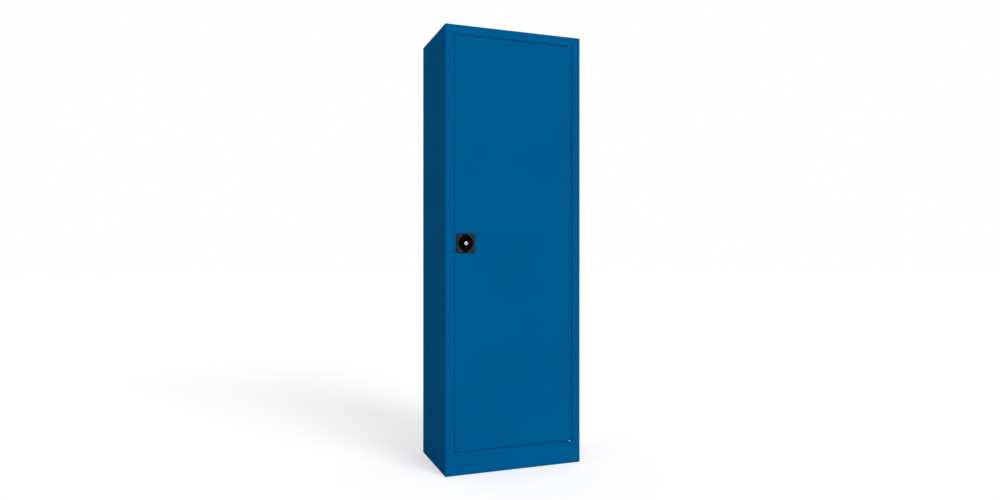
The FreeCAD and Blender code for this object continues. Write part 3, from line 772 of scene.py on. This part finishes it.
def breakEdges(node, name, width):
    builder = bmesh.new()
    builder.from_mesh(nodes[node].data)
    bmesh.ops.remove_doubles(builder, verts=builder.verts, dist=brokenEdges["mergeWithin"])
    flat = brokenEdges["flatterThan"]
    bmesh.ops.dissolve_limit(builder, angle_limit=flat, verts=builder.verts, edges=builder.edges)
    sharp = [edge for edge in builder.edges if edge.calc_face_angle(0) > brokenEdges["sharperThan"]]
    bmesh.ops.bevel(
        builder, geom=sharp, affect="EDGES", offset=width, offset_type="OFFSET", clamp_overlap=True,
        segments=brokenEdges["segments"], profile=brokenEdges["profile"],
    )
    mesh = smoothMesh(builder, name, brokenEdges["sharperThan"])
    mesh.materials.append(nodeFinish[node])
    piece = addPiece(name, mesh, bodyOf[node])
    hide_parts(node)


for node, (name, width) in brokenEdges["pieces"].items():
    breakEdges(node, name, width)
print("small parts ready:", len(brokenEdges["pieces"]))


# domed heads set on points: screws, rivets and the marks of spot welds

head = {
    "segments": 20,
    "rings": 12,
    "bladeLength": 1.15,  # of the cross recess, as shares of the head's radius
    "bladeWidth": 0.26,
    "secondDepth": 1.04,  # the second blade goes a little deeper, so that no two floors coincide
    "sharpFrom": math.radians(40),
}


def crossBlade(tree, length, width, height, level):
    cube = addNode(tree, "GeometryNodeMeshCube", {"Size": combine(tree, length, width, height)})
    values = {"Geometry": cube.outputs["Mesh"], "Translation": combine(tree, 0.0, 0.0, level)}
    return addNode(tree, "GeometryNodeTransform", values).outputs["Geometry"]


def domeShape(tree, given):
    values = {"Segments": head["segments"], "Rings": head["rings"], "Radius": 1.0}
    ball = addNode(tree, "GeometryNodeMeshUVSphere", values)
    places = splitVector(tree, addNode(tree, "GeometryNodeInputPosition").outputs["Position"])
    above = doMath(tree, "MAXIMUM", places["Z"], 0.0)
    crown = doMath(tree, "MULTIPLY", doMath(tree, "POWER", above, given["Fullness"]), given["Height"])
    shaped = combine(
        tree,
        doMath(tree, "MULTIPLY", places["X"], given["Radius"]),
        doMath(tree, "MULTIPLY", places["Y"], given["Radius"]),
        doMath(tree, "SUBTRACT", crown, given["Sunk"]),
    )
    values = {"Geometry": ball.outputs["Mesh"], "Position": shaped}
    return addNode(tree, "GeometryNodeSetPosition", values).outputs["Geometry"]


def withRecess(tree, dome, given):
    length = doMath(tree, "MULTIPLY", given["Radius"], head["bladeLength"])
    width = doMath(tree, "MULTIPLY", given["Radius"], head["bladeWidth"])
    level = doMath(tree, "SUBTRACT", given["Height"], given["Sunk"])
    deeper = doMath(tree, "MULTIPLY", given["Height"], head["secondDepth"])
    cut = dome
    for blade in ((length, width, given["Height"]), (width, length, deeper)):
        values = {"Mesh 1": cut, "Mesh 2": crossBlade(tree, *blade, level)}
        cut = addNode(tree, "GeometryNodeMeshBoolean", values, operation="DIFFERENCE").outputs["Mesh"]
    return cut


def domedHeads():
    tree = bpy.data.node_groups.new("domedHeads", "GeometryNodeTree")
    face = tree.interface
    face.new_socket("Places", in_out="INPUT", socket_type="NodeSocketGeometry")
    for name, start in (("Radius", 3 * mm), ("Height", 2 * mm), ("Sunk", 0.2 * mm), ("Fullness", 0.5)):
        face.new_socket(name, in_out="INPUT", socket_type="NodeSocketFloat").default_value = start
    face.new_socket("Facing", in_out="INPUT", socket_type="NodeSocketVector")
    face.new_socket("Cross Recess", in_out="INPUT", socket_type="NodeSocketBool")
    face.new_socket("Finish", in_out="INPUT", socket_type="NodeSocketMaterial")
    face.new_socket("Heads", in_out="OUTPUT", socket_type="NodeSocketGeometry")
    given = addNode(tree, "NodeGroupInput").outputs

    dome = domeShape(tree, given)
    values = {"Switch": given["Cross Recess"], "False": dome, "True": withRecess(tree, dome, given)}
    shape = addNode(tree, "GeometryNodeSwitch", values, input_type="GEOMETRY").outputs["Output"]
    turn = addNode(tree, "FunctionNodeAlignRotationToVector", {"Vector": given["Facing"]}, axis="Z")
    values = {"Points": given["Places"], "Instance": shape, "Rotation": turn.outputs["Rotation"]}
    copies = addNode(tree, "GeometryNodeInstanceOnPoints", values).outputs["Instances"]
    real = addNode(tree, "GeometryNodeRealizeInstances", {"Geometry": copies}).outputs["Geometry"]
    values = {"Geometry": real, "Material": given["Finish"]}
    finished = addNode(tree, "GeometryNodeSetMaterial", values).outputs["Geometry"]
    addNode(tree, "NodeGroupOutput", {"Heads": finished})
    return tree


headTree = domedHeads()


def setHeads(name, places, sizes, body, finish):
    mesh = bpy.data.meshes.new(name + "Places")
    mesh.from_pydata(places, [], [])
    holder = bpy.data.objects.new(name + "Places", mesh)
    bpy.context.collection.objects.link(holder)
    modifier = holder.modifiers.new("heads", "NODES")
    modifier.node_group = headTree
    values = {"Finish": finish, **sizes}
    for socket in headTree.interface.items_tree:
        if socket.name in values:
            modifier[socket.identifier] = values[socket.name]
    depsgraph = bpy.context.evaluated_depsgraph_get()
    heads = bpy.data.meshes.new_from_object(holder.evaluated_get(depsgraph))
    holder.modifiers.remove(modifier)
    bpy.data.objects.remove(holder)
    heads.name = name
    heads.shade_smooth()
    heads.set_sharp_from_angle(angle=head["sharpFrom"])
    addPiece(name, heads, body)


handleScrews = {
    "out": 39.6 * mm,  # from the lock's axis, on the corners of the backplate
    "depth": 3.0 * mm,
    "sizes": {
        "Radius": 2.8 * mm,
        "Height": 2.2 * mm,
        "Fullness": 0.35,
        "Facing": (0, 1, 0),
        "Cross Recess": True,
    },
}
guideRivets = {
    "rodOffset": 17.07 * mm,
    "fromLock": 130.0 * mm,
    "fromDoorEnd": 60.0 * mm,
    "aside": 16.5 * mm,
    "depth": 3.5 * mm,
    "sizes": {
        "Radius": 2.6 * mm,
        "Height": 1.4 * mm,
        "Fullness": 0.6,
        "Facing": (0, 1, 0),
    },
}
weldSpots = {
    "aside": 26.0 * mm,
    "fromEnd": 60.0 * mm,
    "count": 12,
    "depth": 2.0 * mm,
    "sizes": {
        "Radius": 2.6 * mm,
        "Height": 0.45 * mm,
        "Sunk": 0.1 * mm,
        "Fullness": 0.8,
        "Facing": (0, 1, 0),
    },
}


def doorFasteners():
    out = handleScrews["out"]
    corners = [at(x * out, handleScrews["depth"], z * out) for x in (-1, 1) for z in (-1, 1)]
    setHeads("handleScrews", corners, handleScrews["sizes"], "door", plated)

    far = (doorHigh.z - doorLow.z) / 2 - guideRivets["fromDoorEnd"]
    rivets = []
    for side in (1, -1):
        for along in (guideRivets["fromLock"], far):
            for step in (-1, 1):
                across = side * guideRivets["rodOffset"] + step * guideRivets["aside"]
                rivets.append(at(across, guideRivets["depth"], side * along))
    setHeads("guideRivets", rivets, guideRivets["sizes"], "door", plated)

    low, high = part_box("door_stiffener")
    middle = (low.x + high.x) / 2
    start = low.z + weldSpots["fromEnd"]
    pitch = (high.z - low.z - 2 * weldSpots["fromEnd"]) / (weldSpots["count"] - 1)
    spots = []
    for i in range(weldSpots["count"]):
        for side in (-1, 1):
            place = (middle + side * weldSpots["aside"], frontY + weldSpots["depth"], start + i * pitch)
            spots.append(Vector(place))
    setHeads("stiffenerWelds", spots, weldSpots["sizes"], "door", finishes["blue_paint"])


doorFasteners()
print("fasteners ready")


# stage: floor, light and camera

studio = {
    "worldLight": 0.485,
    "seenLight": 1.0,  # white for what the camera and the reflections see
    "sunStrength": 1.82,
    "sunFrom": (0.35, -0.85, 0.40),
    "sunSoftness": math.radians(35),
    "white": (1, 1, 1, 1),
    "floorSize": 60.0,
    "floorColor": (0.82, 0.82, 0.82, 1),
    "floorGlow": 0.46,
    "floorDrop": 0.2 * mm,
    "footInset": 2.0 * mm,  # the floor under the cabinet doesn't glow
}


def addRayMask(tree):
    rays = addNode(tree, "ShaderNodeLightPath").outputs
    direct = doMath(tree, "MAXIMUM", rays["Is Camera Ray"], rays["Is Glossy Ray"])
    return doMath(tree, "MAXIMUM", direct, rays["Is Transmission Ray"])


def addWorld():
    world = bpy.data.worlds.new("studioWorld")
    bpy.context.scene.world = world
    world.use_nodes = True
    tree = world.node_tree
    light = tree.nodes["Background"]
    light.inputs["Color"].default_value = studio["white"]
    light.inputs["Strength"].default_value = studio["worldLight"]
    seen = addNode(tree, "ShaderNodeBackground", {"Color": studio["white"], "Strength": studio["seenLight"]})
    mix = addNode(tree, "ShaderNodeMixShader", {"Fac": addRayMask(tree)})
    feed(tree, mix.inputs[1], light.outputs["Background"])
    feed(tree, mix.inputs[2], seen.outputs["Background"])
    feed(tree, tree.nodes["World Output"].inputs["Surface"], mix.outputs["Shader"])


def floorMaterial(name, glowStrength):
    mat = bpy.data.materials.new(name)
    mat.use_nodes = True
    tree = mat.node_tree
    tree.nodes.remove(tree.nodes["Principled BSDF"])
    diffuse = addNode(tree, "ShaderNodeBsdfDiffuse", {"Color": studio["floorColor"]})
    strength = doMath(tree, "MULTIPLY", addRayMask(tree), glowStrength)
    glow = addNode(tree, "ShaderNodeEmission", {"Strength": strength})
    total = addNode(tree, "ShaderNodeAddShader")
    feed(tree, total.inputs[0], diffuse.outputs["BSDF"])
    feed(tree, total.inputs[1], glow.outputs["Emission"])
    feed(tree, tree.nodes["Material Output"].inputs["Surface"], total.outputs["Shader"])
    return mat


def square(low, high, level):
    corners = ((low[0], low[1]), (high[0], low[1]), (high[0], high[1]), (low[0], high[1]))
    return [(x, y, level) for x, y in corners]


def addFloor():
    half, inset = studio["floorSize"] / 2, studio["footInset"]
    footLow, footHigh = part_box("left_side_panel")[0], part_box("right_side_panel")[1]
    below = cadBox[0].z - studio["floorDrop"]
    points = square((-half, -half), (half, half), below)
    points += square((footLow.x + inset, footLow.y + inset), (footHigh.x - inset, footHigh.y - inset), below)
    mesh = bpy.data.meshes.new("studioFloor")
    mesh.from_pydata(points, [], [(4, 5, 6, 7), (0, 1, 5, 4), (1, 2, 6, 5), (2, 3, 7, 6), (3, 0, 4, 7)])
    mesh.materials.append(floorMaterial("studioFloor", studio["floorGlow"]))
    mesh.materials.append(floorMaterial("studioFloorUnder", 0.0))
    mesh.polygons[0].material_index = 1
    floor = bpy.data.objects.new("studioFloor", mesh)
    bpy.context.collection.objects.link(floor)


def addSun():
    lamp = bpy.data.lights.new("studioSun", "SUN")
    lamp.energy = studio["sunStrength"]
    lamp.angle = studio["sunSoftness"]
    sun = bpy.data.objects.new("studioSun", lamp)
    sun.rotation_euler = Vector(studio["sunFrom"]).to_track_quat("Z", "Y").to_euler()
    bpy.context.collection.objects.link(sun)


camera = {
    "place": (-1.131, -3.097, 0.975),  # metres, fitted to the outline's corners
    "heading": math.radians(-20.07),
    "focalPixels": 699.5,
    "imageWidth": 1000,
    "horizonRow": 250.17,
    "imageHeight": 500,
    "sensor": 36.0,
}


def addCamera():
    data = bpy.data.cameras.new("photoCamera")
    data.sensor_fit = "HORIZONTAL"
    data.sensor_width = camera["sensor"]
    data.lens = camera["focalPixels"] * camera["sensor"] / camera["imageWidth"]
    data.shift_y = (camera["horizonRow"] - camera["imageHeight"] / 2) / camera["imageWidth"]
    holder = bpy.data.objects.new("photoCamera", data)
    holder.location = camera["place"]
    holder.rotation_euler = (math.pi / 2, 0, camera["heading"])
    bpy.context.collection.objects.link(holder)
    bpy.context.scene.camera = holder


addWorld()
addFloor()
addSun()
addCamera()
bpy.context.scene.view_settings.view_transform = "Standard"
print("studio ready")
